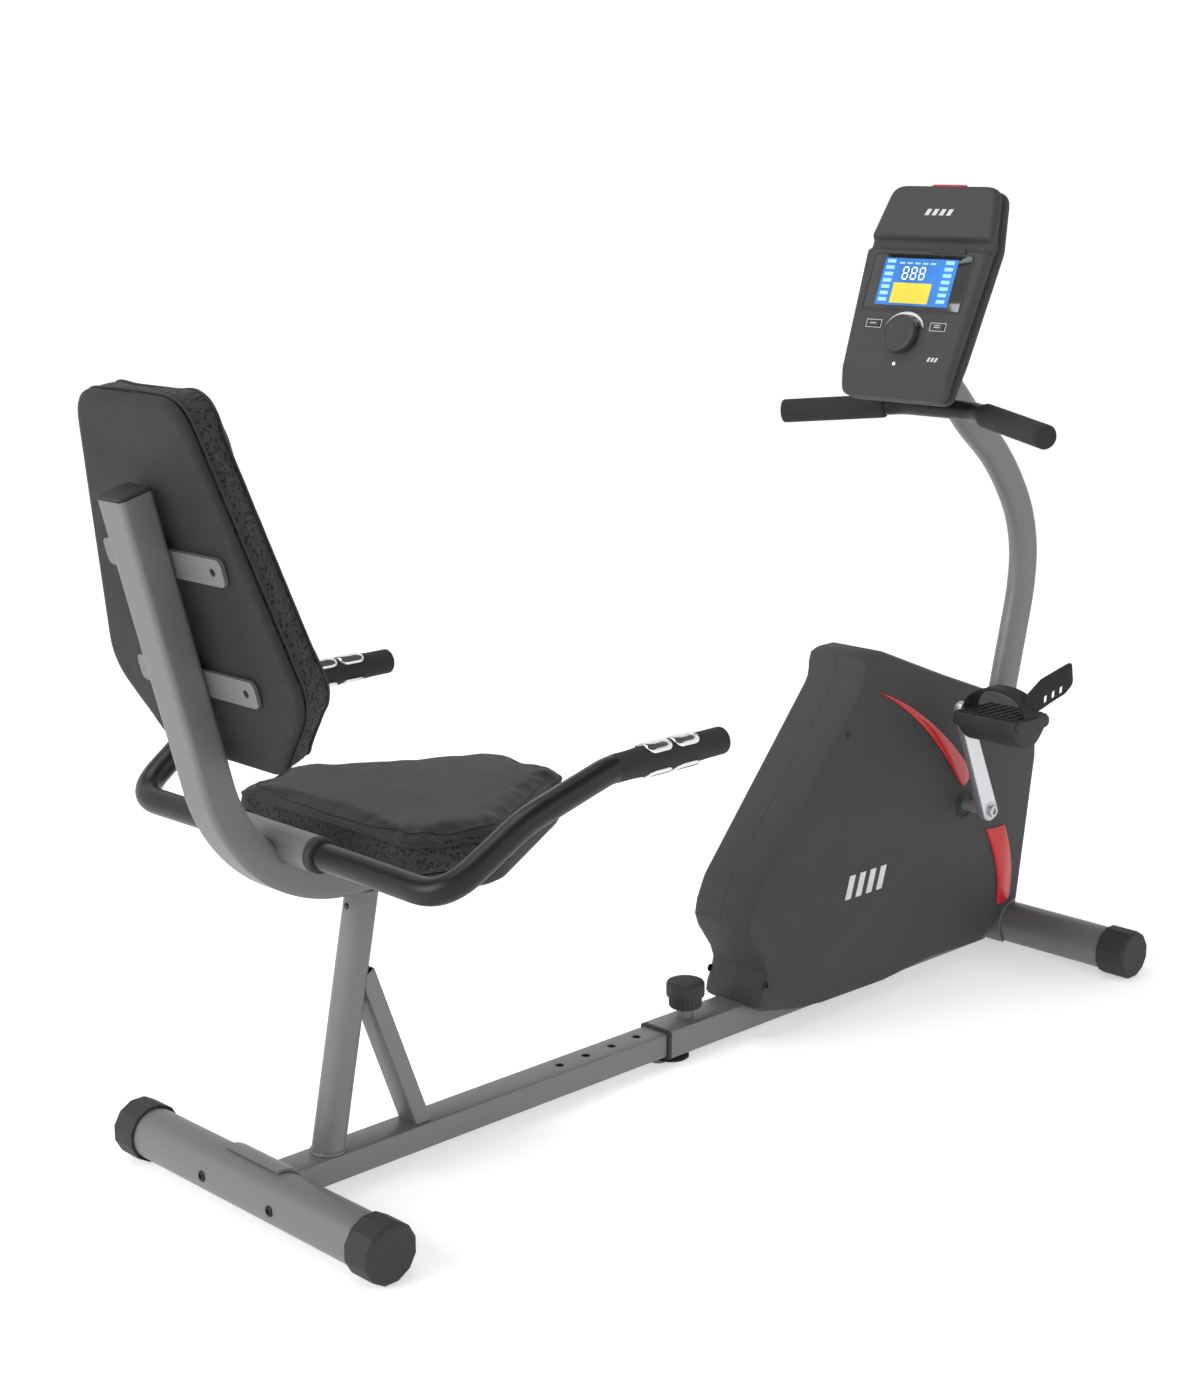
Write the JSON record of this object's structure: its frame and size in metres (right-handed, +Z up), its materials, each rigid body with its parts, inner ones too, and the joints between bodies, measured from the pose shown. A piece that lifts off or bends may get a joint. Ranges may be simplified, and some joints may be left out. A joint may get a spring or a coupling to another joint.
{
  "type": "recumbent exercise bike",
  "caption": "Recumbent exercise bike: padded bucket seat and backrest on a sliding perforated beam, enclosed flywheel drive with pedals, curved mast with console and handlebars.",
  "frame": {"origin": "middle of the footprint, on the floor", "axes": "+X forward from the seat to the pedals, +Y to the rider's left, +Z up"},
  "size_m": [1.5674, 0.606, 1.1014],
  "materials": {
    "frame_paint": "satin dark grey metallic powder coat",
    "housing_plastic": "fine-grained black moulded plastic",
    "cap_plastic": "black moulded plastic",
    "grip_foam": "black foam sleeve",
    "vinyl": "charcoal grained vinyl with sewn seams",
    "mesh_fabric": "charcoal spacer mesh on the cushions' side bands",
    "board": "black moulded pan and board",
    "steel": "bright machined steel",
    "fastener": "zinc-plated fasteners",
    "sensor_plate": "bright pressed contact plate",
    "cast_iron": "grey painted iron",
    "red_gloss": "glossy red inlay",
    "rubber": "black rubber",
    "lens": "blue lit display behind a clear window",
    "grey_plastic": "grey soft-touch key",
    "print": "white and silver printed marks"
  },
  "bodies": {
    "front_frame": {"front_stabiliser_tube": "frame_paint", "front_cap_left": "cap_plastic", "front_cap_right": "cap_plastic", "front_saddle": "frame_paint", "sleeve_tube": "frame_paint", "sleeve_ring": "cap_plastic", "mast": "frame_paint", "front_handlebar": "frame_paint", "front_grip_left": "grip_foam", "front_grip_right": "grip_foam", "console_face": "housing_plastic", "console_rear": "housing_plastic", "console_lens": "lens", "bearing_bracket": "frame_paint", "drive_belt": "rubber", "flywheel_axle": "steel", "flywheel_bracket": "frame_paint", "housing_left": "housing_plastic", "housing_right": "housing_plastic", "accent_upper_left": "red_gloss", "accent_upper_right": "red_gloss", "accent_lower_left": "red_gloss", "accent_lower_right": "red_gloss"},
    "seat_carriage": {"rear_stabiliser_tube": "frame_paint", "rear_cap_left": "cap_plastic", "rear_cap_right": "cap_plastic", "rear_saddle": "frame_paint", "slide_beam": "frame_paint", "seat_post": "frame_paint", "seat_brace": "frame_paint", "back_spine": "frame_paint", "seat_pan": "board", "seat_cushion": "vinyl", "back_bracket_upper": "frame_paint", "back_bracket_lower": "frame_paint", "back_board": "board", "back_cushion": "vinyl", "handlebar_sleeve": "frame_paint", "seat_handlebar": "grip_foam", "pulse_sensor_left": "sensor_plate", "pulse_sensor_right": "sensor_plate"},
    "pull_pin": {"pull_knob": "cap_plastic"},
    "foot": {"levelling_foot": "rubber"},
    "crankset": {"crank_axle": "steel", "drive_pulley": "cap_plastic", "crank_left": "steel", "crank_right": "steel", "pedal_spindle_left": "steel", "pedal_spindle_right": "steel"},
    "pedal_left_body": {"pedal_left": "cap_plastic", "pedal_strap_left": "rubber"},
    "pedal_right_body": {"pedal_right": "cap_plastic", "pedal_strap_right": "rubber"},
    "flywheel_body": {"flywheel": "cast_iron"},
    "dial": {"console_dial": "cap_plastic"},
    "key_left": {"console_button_left": "grey_plastic"},
    "key_right": {"console_button_right": "grey_plastic"},
    "top_key": {"console_top_button": "red_gloss"}
  },
  "joints": [
    {"name": "seat_slide", "type": "slide", "parent": "front_frame", "child": "seat_carriage", "axis": [1, 0, 0], "range_m": [-0.045, 0.225]},
    {"name": "pin_pull", "type": "slide", "parent": "front_frame", "child": "pull_pin", "axis": [0, 0, 1], "range_m": [0, 0.014], "stiffness_N_per_m": 700, "springref_m": -0.006},
    {"name": "foot_turn", "type": "hinge", "parent": "front_frame", "child": "foot", "pos_m": [0.02333, 0, 0.004], "axis": [0, 0, 1], "range_deg": [-360, 360]},
    {"name": "crank_spin", "type": "hinge", "parent": "front_frame", "child": "crankset", "pos_m": [0.56933, 0, 0.241], "axis": [0, 1, 0], "continuous": true},
    {"name": "flywheel_spin", "type": "hinge", "parent": "front_frame", "child": "flywheel_body", "pos_m": [0.29033, 0, 0.19], "axis": [0, 1, 0], "continuous": true},
    {"name": "pedal_right_spin", "type": "hinge", "parent": "crankset", "child": "pedal_right_body", "pos_m": [0.50127, 0, 0.39678], "axis": [0, 1, 0], "continuous": true},
    {"name": "pedal_left_spin", "type": "hinge", "parent": "crankset", "child": "pedal_left_body", "pos_m": [0.63739, 0, 0.08522], "axis": [0, 1, 0], "continuous": true},
    {"name": "dial_turn", "type": "hinge", "parent": "front_frame", "child": "dial", "pos_m": [0.4638, 0, 0.90388], "axis": [0.9272, 0, -0.3746], "continuous": true},
    {"name": "key_left_press", "type": "slide", "parent": "front_frame", "child": "key_left", "axis": [0.9272, 0, -0.3746], "range_m": [0, 0.0015], "stiffness_N_per_m": 400, "springref_m": -0.001},
    {"name": "key_right_press", "type": "slide", "parent": "front_frame", "child": "key_right", "axis": [0.9272, 0, -0.3746], "range_m": [0, 0.0015], "stiffness_N_per_m": 400, "springref_m": -0.001},
    {"name": "top_key_press", "type": "slide", "parent": "front_frame", "child": "top_key", "axis": [-0.3746, 0, -0.9272], "range_m": [0, 0.002], "stiffness_N_per_m": 400, "springref_m": -0.001}
  ],
  "couplings": [
    {"joint": "flywheel_spin", "follows": "crank_spin", "ratio": 4.5}
  ]
}
